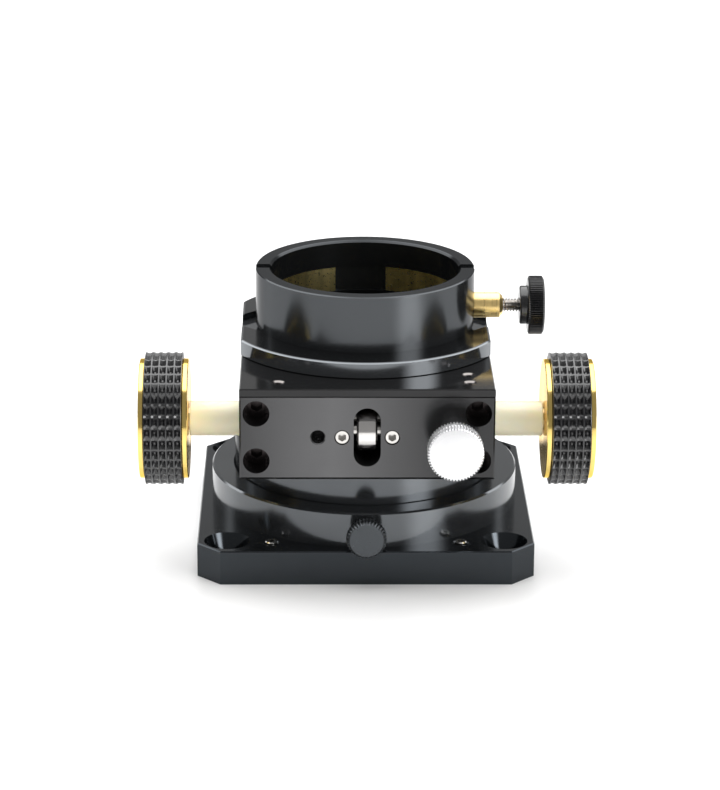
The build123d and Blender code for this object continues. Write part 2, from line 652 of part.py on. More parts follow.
def lock_pad():
    """Nylon pad that the focus lock presses on the shaft."""
    pad_back = SHAFT_Y - SHAFT_R - LOCK_TRAVEL
    start = (LOCK_X, pad_back - LOCK_PAD_LENGTH, SHAFT_Z)
    return rod(start, FRONT_IN, LOCK_PAD_LENGTH, M4_R - 0.05)


def lock_knob():
    """Head of the focus lock with a short neck."""
    head = rod((LOCK_X, LOCK_FACE_Y, SHAFT_Z), FRONT_IN, LOCK_HEAD_BACK_Y - LOCK_FACE_Y, LOCK_R)
    body = chamfer(head.edges().filter_by(GeomType.CIRCLE), 0.5)
    neck_end = HOUSING_FRONT - LOCK_TRAVEL - 0.3
    body += rod((LOCK_X, LOCK_FACE_Y + 1, SHAFT_Z), FRONT_IN, neck_end - LOCK_FACE_Y - 1, HAND_NECK_R)
    return body - rod((LOCK_X, LOCK_FACE_Y + 1.9, SHAFT_Z), FRONT_IN, 30, M4_R + FIT_GAP)


def rotation_stud():
    """Threaded rod of the rotation clamp, with a cone point for the groove."""
    start_y = ROTATION_FACE_Y + 1.2
    tip_y = -(PEDESTAL_R - GROOVE_DEPTH) - ROTATION_TRAVEL - 0.1
    cone_len = 2.0
    body = rod((0, start_y, GROOVE_Z), FRONT_IN, tip_y - cone_len - start_y, M4_R)
    return body + cone((0, tip_y - cone_len, GROOVE_Z), FRONT_IN, cone_len, M4_R, 0.6)


def rotation_knob():
    """Head of the rotation clamp with a collar behind it."""
    head_len = ROTATION_HEAD_BACK_Y - ROTATION_FACE_Y
    head = rod((0, ROTATION_FACE_Y, GROOVE_Z), FRONT_IN, head_len, ROTATION_HEAD_R)
    front_edge = head.edges().filter_by(GeomType.CIRCLE).sort_by(Axis.Y)[0]
    body = chamfer(front_edge, ROTATION_CHAMFER)
    collar_end = -RING_OUTER_R - ROTATION_TRAVEL - 0.1
    body += rod((0, ROTATION_FACE_Y + 1, GROOVE_Z), FRONT_IN, collar_end - ROTATION_FACE_Y - 1, HAND_NECK_R)
    return body - rod((0, ROTATION_FACE_Y + 1.1, GROOVE_Z), FRONT_IN, 20, M4_R + FIT_GAP)


SIDES = {"left": -1, "right": 1}
LEVELS = {"lower": 0, "upper": 1}

NODES = {
    "base_plate": base_plate(),
    "base_ring": base_ring(),
    "ring_screws": ring_screws(),
    "collimation_screws": collimation_screws(),
    "turret_pedestal": turret_pedestal(),
    "retaining_ring": retaining_ring(),
    "retaining_screws": retaining_screws(),
    "main_body": main_body(),
    "body_screws": body_screws(),
    "front_housing": front_housing(),
    "housing_screws": housing_screws(),
    "top_plate": top_plate(),
    "top_plate_screws": top_plate_screws(),
    "focus_shaft": focus_shaft(),
    "knob_set_screws": knob_set_screws(),
    "pressure_roller": pressure_roller(),
    "roller_axle": roller_axle(),
    "tension_screws": tension_screws(),
    "guide_races": guide_races(),
    "guide_pins": guide_pins(),
    "carrier_screws": carrier_screws(),
    "drawtube": drawtube(),
    "drawtube_collar": drawtube_collar(),
    "eyepiece_holder": eyepiece_holder(),
    "compression_band": compression_band(),
    "clamp_bushing": clamp_bushing(),
    "clamp_stud": clamp_stud(),
    "clamp_knob": clamp_knob(),
    "lock_stud": lock_stud(),
    "lock_pad": lock_pad(),
    "lock_knob": lock_knob(),
    "rotation_stud": rotation_stud(),
    "rotation_knob": rotation_knob(),
}
for name, side in SIDES.items():
    NODES[f"shaft_bushing_{name}"] = shaft_bushing(side)
    NODES[f"focus_knob_{name}"] = focus_knob(side)
    NODES[f"knob_grip_{name}"] = knob_grip(side)
    NODES[f"bearing_carrier_{name}"] = bearing_carrier(side)
    for level, index in LEVELS.items():
        NODES[f"guide_bearing_{level}_{name}"] = guide_bearing(side, index)

os.makedirs("parts", exist_ok=True)
for name, shape in NODES.items():
    pieces = shape if isinstance(shape, list) else [shape]
    solids = [piece.solid() for piece in pieces]
    export_step(Compound(children=solids) if len(solids) > 1 else solids[0], f"parts/{name}.step")
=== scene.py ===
import math

import bpy
from mathutils import Matrix, Vector


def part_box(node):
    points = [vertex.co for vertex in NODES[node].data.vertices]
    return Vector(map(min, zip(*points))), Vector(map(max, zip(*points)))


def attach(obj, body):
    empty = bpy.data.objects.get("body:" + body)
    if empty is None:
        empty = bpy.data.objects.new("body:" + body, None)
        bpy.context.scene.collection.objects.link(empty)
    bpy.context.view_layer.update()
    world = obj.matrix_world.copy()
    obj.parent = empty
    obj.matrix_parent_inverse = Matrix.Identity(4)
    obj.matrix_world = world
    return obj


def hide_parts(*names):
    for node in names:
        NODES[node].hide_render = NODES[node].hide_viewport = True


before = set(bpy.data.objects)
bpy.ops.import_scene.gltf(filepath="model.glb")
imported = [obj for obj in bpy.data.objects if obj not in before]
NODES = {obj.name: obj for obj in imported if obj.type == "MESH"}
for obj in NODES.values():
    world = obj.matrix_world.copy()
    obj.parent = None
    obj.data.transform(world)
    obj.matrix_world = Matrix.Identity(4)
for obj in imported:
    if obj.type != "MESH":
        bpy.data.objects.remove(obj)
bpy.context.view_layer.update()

# A two-inch friction-drive focuser: CAD nodes keep their shapes and get finishes,
# and knurled, threaded and moulded pieces are built here in full detail.

MM = 0.001
X_AXIS, Y_AXIS, Z_AXIS = range(3)


def middle_of(node):
    """Centre of a CAD node's box, in metres."""
    low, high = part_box(node)
    return (low + high) / 2


SHAFT_Y = middle_of("focus_shaft").y
SHAFT_Z = middle_of("focus_shaft").z
SHAFT_CENTRE = (0, SHAFT_Y, SHAFT_Z)
ORIGIN = (0, 0, 0)


# ---------------------------------------------------------------- mesh helpers
def new_piece(name, verts, faces):
    """Object in the scene with a mesh of the given points and faces."""
    mesh = bpy.data.meshes.new(name)
    mesh.from_pydata([tuple(v) for v in verts], [], faces)
    mesh.validate()
    piece = bpy.data.objects.new(name, mesh)
    bpy.context.collection.objects.link(piece)
    return piece


def lathe(name, rows, segments, origin, axis, shape):
    """Mesh turned about an axis. rows are (radius, distance along the axis) pairs in metres.

    shape(radius, along, angle) gives the radius at an angle, for knurls and threads."""
    frame_z = Vector(axis).normalized()
    helper = Vector((0, 0, 1)) if abs(frame_z.z) < 0.9 else Vector((1, 0, 0))
    frame_x = helper.cross(frame_z).normalized()
    frame_y = frame_z.cross(frame_x)
    origin = Vector(origin)
    verts = []
    faces = []
    ring_ids = []
    for radius, along in rows:
        if radius == 0:
            verts.append(origin + frame_z * along)
            ring_ids.append([len(verts) - 1])
            continue
        ids = []
        for step in range(segments):
            angle = 2 * math.pi * step / segments
            arm = frame_x * math.cos(angle) + frame_y * math.sin(angle)
            verts.append(origin + frame_z * along + arm * shape(radius, along, angle))
            ids.append(len(verts) - 1)
        ring_ids.append(ids)
    for low, high in zip(ring_ids, ring_ids[1:]):
        for step in range(segments):
            after = (step + 1) % segments
            if len(low) == 1:
                faces.append((low[0], high[after], high[step]))
            elif len(high) == 1:
                faces.append((low[step], low[after], high[0]))
            else:
                faces.append((low[step], low[after], high[after], high[step]))
    return new_piece(name, verts, faces)


def rounded(rows, size, steps=3):
    """Profile whose inner corners are cut by small arcs of about the given size."""
    out = [rows[0]]
    for before, corner, after in zip(rows, rows[1:], rows[2:]):
        c = Vector(corner)
        to_before = Vector(before) - c
        to_after = Vector(after) - c
        reach = min(size, to_before.length * 0.45, to_after.length * 0.45)
        start = c + to_before.normalized() * reach
        end = c + to_after.normalized() * reach
        for step in range(steps + 1):
            t = step / steps
            point = start.lerp(c, t).lerp(c.lerp(end, t), t)
            out.append((point.x, point.y))
    out.append(rows[-1])
    return out


def triangle_wave(phase):
    """0 at whole phases, 1 half way between."""
    return 1 - abs(2 * (phase % 1.0) - 1)


def tooth(phase, land):
    """0 on a tooth's land to 1 at the bottom of the groove beside it."""
    return max(0.0, triangle_wave(phase) - land) / (1 - land)


# ------------------------------------------------------------ material helpers
class Finish:
    """A Principled material with a few chained detail nodes."""

    def __init__(self, name, color, metallic, roughness, **sockets):
        self.mat = bpy.data.materials.new(name)
        self.mat.use_nodes = True
        self.tree = self.mat.node_tree
        self.bsdf = self.tree.nodes["Principled BSDF"]
        self.bsdf.inputs["Base Color"].default_value = (*color, 1)
        self.bsdf.inputs["Metallic"].default_value = metallic
        self.bsdf.inputs["Roughness"].default_value = roughness
        for socket, value in sockets.items():
            self.bsdf.inputs[socket.replace("_", " ")].default_value = value
        self.normal = None

    def node(self, kind, **settings):
        made = self.tree.nodes.new(kind)
        for key, value in settings.items():
            setattr(made, key, value)
        return made

    def link(self, source, target):
        self.tree.links.new(source, target)

    def math(self, operation, a, b=None):
        made = self.node("ShaderNodeMath", operation=operation)
        for index, value in enumerate((a, b)):
            if value is None:
                continue
            if isinstance(value, (int, float)):
                made.inputs[index].default_value = value
            else:
                self.link(value, made.inputs[index])
        return made.outputs[0]

    def coords(self, scale, centre=(0, 0, 0)):
        """Object coordinates about a centre, stretched by a scale per axis."""
        source = self.node("ShaderNodeTexCoord").outputs["Object"]
        mapping = self.node("ShaderNodeMapping", vector_type="POINT")
        mapping.inputs["Location"].default_value = [-c * s for c, s in zip(centre, scale)]
        mapping.inputs["Scale"].default_value = scale
        self.link(source, mapping.inputs["Vector"])
        return mapping.outputs[0]

    def stretch(self, amount, axis):
        """Stretches highlights across fine lines that run around an axis."""
        tangent = self.node("ShaderNodeTangent", direction_type="RADIAL", axis=axis)
        self.link(tangent.outputs["Tangent"], self.bsdf.inputs["Tangent"])
        self.bsdf.inputs["Anisotropic"].default_value = amount
        self.bsdf.inputs["Anisotropic Rotation"].default_value = 0.25

    def distance(self, centre, axis):
        """Distance from an axis, in metres."""
        keep = [0.0 if i == axis else 1.0 for i in range(3)]
        length = self.node("ShaderNodeVectorMath", operation="LENGTH")
        self.link(self.coords(keep, centre), length.inputs[0])
        return length.outputs["Value"]

    def along(self, centre, axis):
        """Distance from a centre along one axis, in metres."""
        split = self.node("ShaderNodeSeparateXYZ")
        self.link(self.coords((1, 1, 1), centre), split.inputs[0])
        return split.outputs[axis]

    def turned(self, centre, axis, radial, along):
        """Coordinates that vary with the distance from an axis and along it."""
        joined = self.node("ShaderNodeCombineXYZ")
        self.link(self.math("MULTIPLY", self.distance(centre, axis), radial), joined.inputs[0])
        self.link(self.math("MULTIPLY", self.along(centre, axis), along), joined.inputs[1])
        return joined.outputs[0]

    def noise(self, coords, scale=1.0, detail=3.0, rough=0.5):
        made = self.node("ShaderNodeTexNoise")
        made.inputs["Scale"].default_value = scale
        made.inputs["Detail"].default_value = detail
        made.inputs["Roughness"].default_value = rough
        self.link(coords, made.inputs["Vector"])
        return made.outputs["Fac"]

    def spread(self, value, low, high, from_low=0.3, from_high=0.7):
        made = self.node("ShaderNodeMapRange")
        made.inputs["From Min"].default_value = from_low
        made.inputs["From Max"].default_value = from_high
        made.inputs["To Min"].default_value = low
        made.inputs["To Max"].default_value = high
        self.link(value, made.inputs["Value"])
        return made.outputs["Result"]

    def bump(self, height, strength, distance):
        made = self.node("ShaderNodeBump")
        made.inputs["Strength"].default_value = strength
        made.inputs["Distance"].default_value = distance
        self.link(height, made.inputs["Height"])
        if self.normal is not None:
            self.link(self.normal, made.inputs["Normal"])
        self.normal = made.outputs["Normal"]
        self.link(self.normal, self.bsdf.inputs["Normal"])

    def tint(self, factor, low, high):
        """Base colour that runs between two colours."""
        made = self.node("ShaderNodeMix", data_type="RGBA")
        made.inputs[6].default_value = (*low, 1)
        made.inputs[7].default_value = (*high, 1)
        self.link(factor, made.inputs[0])
        self.link(made.outputs[2], self.bsdf.inputs["Base Color"])

    def rough(self, factor):
        self.link(factor, self.bsdf.inputs["Roughness"])


ANODISED = {"metallic": 0.86, "IOR": 1.5}
# a black varies between these parts of its shade
SHADE_LOW = 0.95
SHADE_HIGH = 1.06
# painted shade: where a flat black fades, it drops to this part of its shade towards the ends
PAINTED_SHADE_LOW = 0.35
# turning marks per metre, and the heights of the bumps in metres
RING_DENSITY = 5200
FINE = 0.00001
COARSE = 0.00002


def anodised_flat(name, shade, roughness, stretch, tint=(1.0, 1.0, 1.02), fade=None):
    """Milled and black-anodised flat faces: fine straight tool lines.

    fade is a place across the block and a distance from it over which painted shade deepens the black
    towards the block's ends."""
    low = [(PAINTED_SHADE_LOW if fade else SHADE_LOW) * shade * c for c in tint]
    high = [SHADE_HIGH * shade * c for c in tint]
    made = Finish(name, low, roughness=roughness, **ANODISED)
    lines = made.noise(made.coords(stretch), 1.0, 4.0, 0.6)
    cloud = made.noise(made.coords((60, 60, 60)), 1.0, 3.0, 0.55)
    light = made.spread(cloud, 0.85 if fade else 0, 1)
    # painted shade: the black deepens away from the fade's place, over its distance
    if fade:
        across = made.math("ABSOLUTE", made.along((fade[0], 0, 0), X_AXIS))
        light = made.math("MULTIPLY", light, made.spread(across, 1, 0, 0, fade[1]))
    made.tint(light, low, high)
    made.rough(made.spread(lines, roughness * 0.8, roughness * 1.25))
    made.bump(lines, 0.1, FINE)
    return made.mat


def anodised_turned(name, shade, roughness, stretch, depth=0.1, bore=None, top=None,
                    low_tone_and_painted_shade=SHADE_LOW, edge=1.0):
    """Turned and black-anodised round faces: fine rings about the upright axis.

    Inside the bore radius and on the top face, where either is given, the black drops to a low part
    of its shade: inside the bore as painted shade, on the top face as a painted dark reflection.
    Where neither is given, that low part is only the low end of a tone that varies at random.
    edge below 1 dims the metal's reflection towards grazing angles."""
    tint = (0.94, 1.0, 1.06)
    low = [low_tone_and_painted_shade * shade * c for c in tint]
    high = [SHADE_HIGH * shade * c for c in tint]
    made = Finish(name, low, roughness=roughness, Specular_Tint=(edge, edge, edge, 1), **ANODISED)
    rings = made.noise(made.turned(ORIGIN, Z_AXIS, RING_DENSITY, RING_DENSITY), 1.0, 3.0, 0.6)
    cloud = made.noise(made.coords((45, 45, 45)), 1.0, 3.0, 0.55)
    light = made.spread(cloud, 0.88 if bore or top else 0, 1)
    # painted shade: inside the bore the black is deeper than on the walls
    if bore:
        radius = made.distance(ORIGIN, Z_AXIS)
        light = made.math("MULTIPLY", light, made.spread(radius, 0, 1, bore + 0.1 * MM, bore + 0.3 * MM))
    # painted dark reflection: the top face is darker than the wall
    if top:
        height = made.along(ORIGIN, Z_AXIS)
        light = made.math("MULTIPLY", light, made.spread(height, 1, 0, top - 0.2 * MM, top - 0.05 * MM))
    made.tint(light, low, high)
    made.rough(made.spread(rings, roughness * 0.93, roughness * 1.08))
    made.bump(rings, depth, COARSE)
    made.stretch(stretch, "Z")
    return made.mat


def turned_metal(name, color, roughness, centre, axis, lines=4000, depth=0.25, stretch=None, **sockets):
    """Bright turned metal with fine rings and slight tarnish."""
    made = Finish(name, color, 1.0, roughness, **sockets)
    rings = made.noise(made.turned(centre, axis, lines, lines), 1.0, 4.0, 0.65)
    cloud = made.noise(made.coords((90, 90, 90)), 1.0, 4.0, 0.6)
    made.tint(made.spread(cloud, 0, 1), [c * 0.9 for c in color], color)
    made.rough(made.spread(rings, roughness * 0.7, roughness * 1.4))
    made.bump(rings, depth, COARSE)
    if stretch:
        made.stretch(stretch, "XYZ"[axis])
    return made.mat


def worn_brass(name, color, roughness):
    """Rolled brass strip: streaks across its width and small scuffs."""
    made = Finish(name, color, 1.0, roughness)
    streaks = made.noise(made.coords((320, 320, 25)), 1.0, 4.0, 0.6)
    scuffs = made.noise(made.coords((1500, 1500, 1500)), 1.0, 4.0, 0.7)
    made.tint(made.spread(streaks, 0, 1), [c * 0.65 for c in color], color)
    made.rough(made.spread(scuffs, roughness * 0.85, roughness * 1.15))
    made.bump(scuffs, 0.02, COARSE)
    return made.mat


def steel(name, color, roughness):
    """Plain bright or blackened steel with slight grain."""
    made = Finish(name, color, 1.0, roughness)
    grain = made.noise(made.coords((2500, 2500, 2500)), 1.0, 3.0, 0.6)
    cloud = made.noise(made.coords((400, 400, 400)), 1.0, 3.0, 0.6)
    made.tint(made.spread(cloud, 0, 1), [c * 0.85 for c in color], color)
    made.rough(made.spread(grain, roughness * 0.75, roughness * 1.3))
    made.bump(grain, 0.08, COARSE)
    return made.mat


def moulded(name, color, roughness, grain_scale, depth, **sockets):
    """Rubber or plastic with a moulded grain."""
    made = Finish(name, color, 0.0, roughness, **sockets)
    grain = made.noise(made.coords((grain_scale,) * 3), 1.0, 4.0, 0.6)
    cloud = made.noise(made.coords((150, 150, 150)), 1.0, 3.0, 0.5)
    made.tint(made.spread(cloud, 0, 1), [c * 0.8 for c in color], [c * 1.2 for c in color])
    made.rough(made.spread(grain, roughness * 0.85, roughness * 1.15))
    made.bump(grain, depth, 5 * FINE)
    return made.mat


def nylon(name):
    """Ivory nylon, slightly translucent, with faint turning marks."""
    made = Finish(name, (1.0, 0.91, 0.7), 0.0, 0.34, IOR=1.6, Subsurface_Weight=0.45,
                  Subsurface_Radius=(0.0012, 0.0009, 0.0005), Subsurface_Scale=1.0)
    rings = made.noise(made.turned(SHAFT_CENTRE, X_AXIS, 1500, 1500), 1.0, 3.0, 0.6)
    cloud = made.noise(made.coords((120, 120, 120)), 1.0, 3.0, 0.5)
    made.tint(made.spread(cloud, 0, 1), (1.0, 0.9, 0.66), (1.0, 0.93, 0.74))
    made.rough(made.spread(rings, 0.3, 0.42))
    made.bump(rings, 0.1, COARSE)
    return made.mat


def paint(names, mat):
    """Gives CAD nodes one finish."""
    for name in names:
        NODES[name].data.materials.clear()
        NODES[name].data.materials.append(mat)


BORE_R = 25.8 * MM
CLAMP_HEIGHT = 64 * MM
plate_black = anodised_flat("plate_black", 0.04, 0.12, (40, 900, 2400), (0.88, 1.0, 1.12))
# painted shade: the block's black deepens towards its ends
block_black = anodised_flat("block_black", 0.118, 0.2, (60, 900, 5200), fade=(-9 * MM, 30 * MM))
cover_black = anodised_flat("cover_black", 0.033, 0.11, (60, 2400, 900))
ring_black = anodised_turned("ring_black", 0.115, 0.15, 0.4, 0.06)
turret_black = anodised_turned("turret_black", 0.11, 0.14, 0.4, 0.06, edge=0.25)
collar_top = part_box("drawtube_collar")[1].z
# painted dark reflection: the collar's top face is darker than its wall
collar_black = anodised_turned("collar_black", 0.16, 0.12, 0.7, 0.06, top=collar_top, low_tone_and_painted_shade=0.2)
# painted shade: the eyepiece holder's bore is darker than its outside
holder_black = anodised_turned("holder_black", 0.072, 0.17, 0.6, 0.02, bore=BORE_R, low_tone_and_painted_shade=0.6, edge=0.5)
inner_black = anodised_turned("inner_black", 0.02, 0.35, 0.5)
gold = turned_metal("gold_anodised_turned", (0.93, 0.69, 0.22), 0.16, SHAFT_CENTRE, X_AXIS, 4000, 0.08,
                    stretch=0.55, Specular_Tint=(1.0, 0.8, 0.4, 1))
rubber = moulded("rubber_grip", (0.008, 0.008, 0.009), 0.3, 3500, 0.1, IOR=1.75)
black_plastic = moulded("black_knob", (0.01, 0.01, 0.011), 0.22, 2600, 0.03, IOR=1.65)
rotation_black = anodised_flat("rotation_black", 0.075, 0.32, (900, 900, 900), (0.92, 1.0, 1.08))
ivory = nylon("ivory_nylon")
bright_steel = steel("bright_steel", (0.72, 0.70, 0.67), 0.2)
ground_steel = turned_metal("ground_steel", (0.78, 0.76, 0.74), 0.14, SHAFT_CENTRE, X_AXIS, 2500, 0.1)
black_steel = steel("black_steel", (0.035, 0.03, 0.03), 0.2)
grey_steel = steel("grey_steel", (0.2, 0.185, 0.18), 0.2)
clear_aluminium = turned_metal("turned_aluminium", (0.84, 0.84, 0.85), 0.32, middle_of("lock_knob"),
                               Y_AXIS, 2600, 0.03)
brass = worn_brass("band_brass", (0.98, 0.84, 0.4), 0.3)
bushing_brass = turned_metal("bushing_brass", (0.98, 0.73, 0.31), 0.3, (0, 0, CLAMP_HEIGHT), X_AXIS,
                             900, 0.015)

paint(["base_plate"], plate_black)
paint(["base_ring"], ring_black)
paint(["turret_pedestal", "retaining_ring"], turret_black)
paint(["main_body", "front_housing", "bearing_carrier_left", "bearing_carrier_right"], block_black)
paint(["top_plate"], cover_black)
paint(["drawtube_collar"], collar_black)
paint(["eyepiece_holder"], holder_black)
paint(["drawtube"], inner_black)
paint(["shaft_bushing_left", "shaft_bushing_right", "lock_pad"], ivory)
paint(["focus_knob_left", "focus_knob_right"], gold)
paint(["knob_grip_left", "knob_grip_right"], rubber)
paint(["focus_shaft", "pressure_roller"], ground_steel)
paint(["roller_axle", "tension_screws", "guide_races", "guide_pins", "clamp_stud",
       "lock_stud", "rotation_stud", "collimation_screws"], bright_steel)
paint([f"guide_bearing_{level}_{side}" for level in ("lower", "upper") for side in ("left", "right")],
      bright_steel)
paint(["ring_screws", "retaining_screws", "body_screws", "housing_screws", "knob_set_screws",
       "carrier_screws"], black_steel)
paint(["top_plate_screws"], grey_steel)
paint(["clamp_knob"], black_plastic)
paint(["rotation_knob"], rotation_black)
paint(["lock_knob"], clear_aluminium)
paint(["compression_band"], brass)
paint(["clamp_bushing"], bushing_brass)


# ------------------------------------------------- knurled and threaded pieces
# millimetres, as are all profiles below
STUD_R = 2.0
STUD_PITCH = 0.7
STUD_ROOT_R = 1.57
CLAMP_PITCH = 0.8
CLAMP_ROOT_R = 1.35
HOLE_R = 2.05
NECK_R = 3.6


def mm_rows(rows):
    """Profile in metres from (radius, distance) pairs in millimetres."""
    return [(r * MM, a * MM) for r, a in rows]


def stand_in(piece, node, body, mat, angle):
    """Shows a piece in place of its CAD node, on the same body.

    Edges sharper than the angle stay crisp."""
    piece.data.shade_smooth()
    piece.data.set_sharp_from_angle(angle=math.radians(angle))
    piece.data.materials.append(mat)
    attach(piece, body)
    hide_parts(node)


def make_grip(side_name, side):
    """Rubber sleeve with a grid of square pits between sharp ridges."""
    low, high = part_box(f"knob_grip_{side_name}")
    inner = min(abs(low.x), abs(high.x)) / MM
    outer = max(abs(low.x), abs(high.x)) / MM
    grip_r = (high.z - low.z) / 2 / MM
    core_r = 13.65
    columns = 5
    cells = 36
    depth = 1.15
    bar_drop = 0.25
    pitch = (outer - inner) / columns
    lines_along = (0.09, 0.39, 0.61, 0.91)
    lines_around = (0.085, 0.4, 0.6, 0.915)
    rows = [(core_r, inner, None), (grip_r - 0.6, inner, None), (grip_r - 0.04, inner + 0.06, None)]
    for column in range(columns):
        rows += [(grip_r, inner + pitch * (column + t), i) for i, t in enumerate(lines_along)]
    rows += [(grip_r - 0.04, outer - 0.06, None), (grip_r - 0.6, outer, None), (core_r, outer, None)]
    angles = [(cell + t, j) for cell in range(cells) for j, t in enumerate(lines_around)]
    verts = []
    for radius, along, i in rows:
        for turn, j in angles:
            drop = 0.0
            if i in (1, 2):
                drop = depth if j in (1, 2) else bar_drop
            angle = 2 * math.pi * turn / cells
            reach = (radius - drop) * MM
            verts.append((side * along * MM, SHAFT_Y + reach * math.cos(angle),
                          SHAFT_Z + reach * math.sin(angle)))
    faces = []
    around = len(angles)
    for row in range(len(rows)):
        after = (row + 1) % len(rows)
        for step in range(around):
            turn = (step + 1) % around
            a = row * around + step
            b = row * around + turn
            c = after * around + turn
            d = after * around + step
            first, second = (rows[row][2], rows[after][2])
            corner = (first, second) in ((0, 1), (2, 3)) and angles[step][1] in (0, 2)
            if not corner:
                faces.append((a, b, c, d))
            elif (first == 0) == (angles[step][1] == 0):
                faces += [(a, b, c), (a, c, d)]
            else:
                faces += [(a, b, d), (b, c, d)]
    if side < 0:
        faces = [face[::-1] for face in faces]
    grip = new_piece(f"grip_{side_name}", verts, faces)
    stand_in(grip, f"knob_grip_{side_name}", "focus_shaft", rubber, 15)


def make_clamp_knob():
    """Moulded head with fine straight teeth, a smooth collar and a low dome."""
    low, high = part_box("clamp_knob")
    start = low.x / MM
    end = high.x / MM
    head_r = (high.z - low.z) / 2 / MM
    centre = (0, 0, middle_of("clamp_knob").z)
    collar_length = 2.2
    head_start = start + collar_length
    teeth = 78
    groove_depth = 0.6
    land = 0.25

    def surface(radius, along, angle):
        if radius / MM < head_r - 0.02:
            return radius
        return radius - groove_depth * MM * tooth(angle / (2 * math.pi) * teeth, land)

    profile = [(HOLE_R, start), (4.9, start), (5.3, start + 0.35), (5.3, head_start - 0.25),
               (5.6, head_start), (7.3, head_start), (head_r, head_start + 0.45)]
    profile = rounded(profile, 0.15)
    profile += [(head_r, head_start + 1.5), (head_r, end - 0.7)]
    profile += [(7.25, end - 0.22), (6.6, end - 0.1), (5.4, end - 0.3), (4.6, end - 0.3), (4.3, end - 0.05),
                (2.0, end), (0, end)]
    knob = lathe("clamp_head", mm_rows(profile), teeth * 10, centre, (1, 0, 0), surface)
    stand_in(knob, "clamp_knob", "clamp_knob", black_plastic, 24)


def threaded(node, origin, axis, start, end, pitch, root, mat, tip=None):
    """Rod with a real helical thread between two distances along its axis, in millimetres."""
    radius = STUD_R
    steps_per_turn = 10
    count = math.ceil((end - start) / pitch * steps_per_turn)

    def surface(at, along, angle):
        if at / MM < radius - 0.01:
            return at
        lead = along / MM / pitch - angle / (2 * math.pi)
        fade = min(1.0, (along / MM - start) / pitch, (end - along / MM) / pitch)
        return at - (radius - root) * MM * triangle_wave(lead) * max(0.0, fade)

    profile = [(0, start), (radius - 0.3, start)]
    profile += [(radius, start + 0.3 + (end - start - 0.6) * i / count) for i in range(count + 1)]
    profile += tip if tip else [(radius - 0.3, end), (0, end)]
    rod = lathe(f"{node}_thread", mm_rows(profile), 40, origin, axis, surface)
    stand_in(rod, node, node, mat, 20)


def make_lock_knob():
    """Bright knurled head with two rows of teeth and a short neck."""
    low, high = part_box("lock_knob")
    head_r = (high.x - low.x) / 2 / MM
    centre = (middle_of("lock_knob").x, 0, middle_of("lock_knob").z)
    face = low.y / MM
    neck_end = high.y / MM
    head_length = 5.5
    head_back = face + head_length
    middle = (face + head_back) / 2
    teeth = 54
    groove_depth = 0.6
    land = 0.3
    smooth_r = 6.7

    def surface(radius, along, angle):
        full = min(1.0, (radius / MM - smooth_r) / (head_r - smooth_r))
        if full <= 0:
            return radius
        return radius - groove_depth * full * MM * tooth(angle / (2 * math.pi) * teeth, land)

    profile = [(0, face), (6.6, face), (6.85, face + 0.04), (head_r, face + 0.3), (head_r, face + 1.2),
               (head_r, middle - 0.25), (6.75, middle - 0.02), (6.75, middle + 0.02),
               (head_r, middle + 0.25), (head_r, head_back - 1.2), (head_r, head_back - 0.5),
               (6.9, head_back - 0.1), (6.6, head_back), (NECK_R, head_back), (NECK_R, neck_end),
               (HOLE_R, neck_end)]
    knob = lathe("lock_head", mm_rows(profile), teeth * 10, centre, (0, 1, 0), surface)
    stand_in(knob, "lock_knob", "lock_knob", clear_aluminium, 30)


def make_rotation_knob():
    """Small dark head with straight teeth, a chamfered front and a collar."""
    low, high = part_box("rotation_knob")
    head_r = (high.x - low.x) / 2 / MM
    centre = (0, 0, middle_of("rotation_knob").z)
    face = low.y / MM
    neck_end = high.y / MM
    head_length = 3.4
    head_back = face + head_length
    teeth = 36
    groove_depth = 0.5
    smooth_r = 4.45

    def surface(radius, along, angle):
        if radius / MM < smooth_r:
            return radius
        full = min(1.0, (radius / MM - smooth_r) / (head_r - smooth_r))
        return radius - groove_depth * MM * full * triangle_wave(angle / (2 * math.pi) * teeth) ** 0.8

    profile = [(0, face + 0.03), (4.1, face + 0.03), (4.3, face), (4.45, face), (4.95, face + 0.45),
               (head_r, face + 0.9), (head_r, face + 2.2), (head_r, head_back - 0.3), (4.9, head_back),
               (4.4, head_back), (NECK_R, head_back), (NECK_R, neck_end), (HOLE_R, neck_end)]
    knob = lathe("rotation_head", mm_rows(profile), teeth * 8, centre, (0, 1, 0), surface)
    stand_in(knob, "rotation_knob", "rotation_knob", rotation_black, 30)


def make_threads():
    """The three hand screws' threaded rods."""
    thread_steel = steel("thread_steel", (0.5, 0.48, 0.46), 0.2)
    low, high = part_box("clamp_stud")
    threaded("clamp_stud", (0, 0, middle_of("clamp_stud").z), (1, 0, 0), low.x / MM, high.x / MM,
             CLAMP_PITCH, CLAMP_ROOT_R, thread_steel)
    low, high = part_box("lock_stud")
    threaded("lock_stud", (middle_of("lock_stud").x, 0, middle_of("lock_stud").z), (0, 1, 0),
             low.y / MM, high.y / MM, STUD_PITCH, STUD_ROOT_R, thread_steel)
    low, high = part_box("rotation_stud")
    point = high.y / MM
    cone = [(1.97, point - 2.0), (0.6, point), (0, point)]
    threaded("rotation_stud", (0, 0, middle_of("rotation_stud").z), (0, 1, 0), low.y / MM, point - 2.0,
             STUD_PITCH, STUD_ROOT_R, thread_steel, cone)


for side_name, side in (("left", -1), ("right", 1)):
    make_grip(side_name, side)
make_clamp_knob()
make_lock_knob()
make_rotation_knob()
make_threads()


# ------------------------------------------------------------------- the stage
FLOOR_SIZE = 6.0
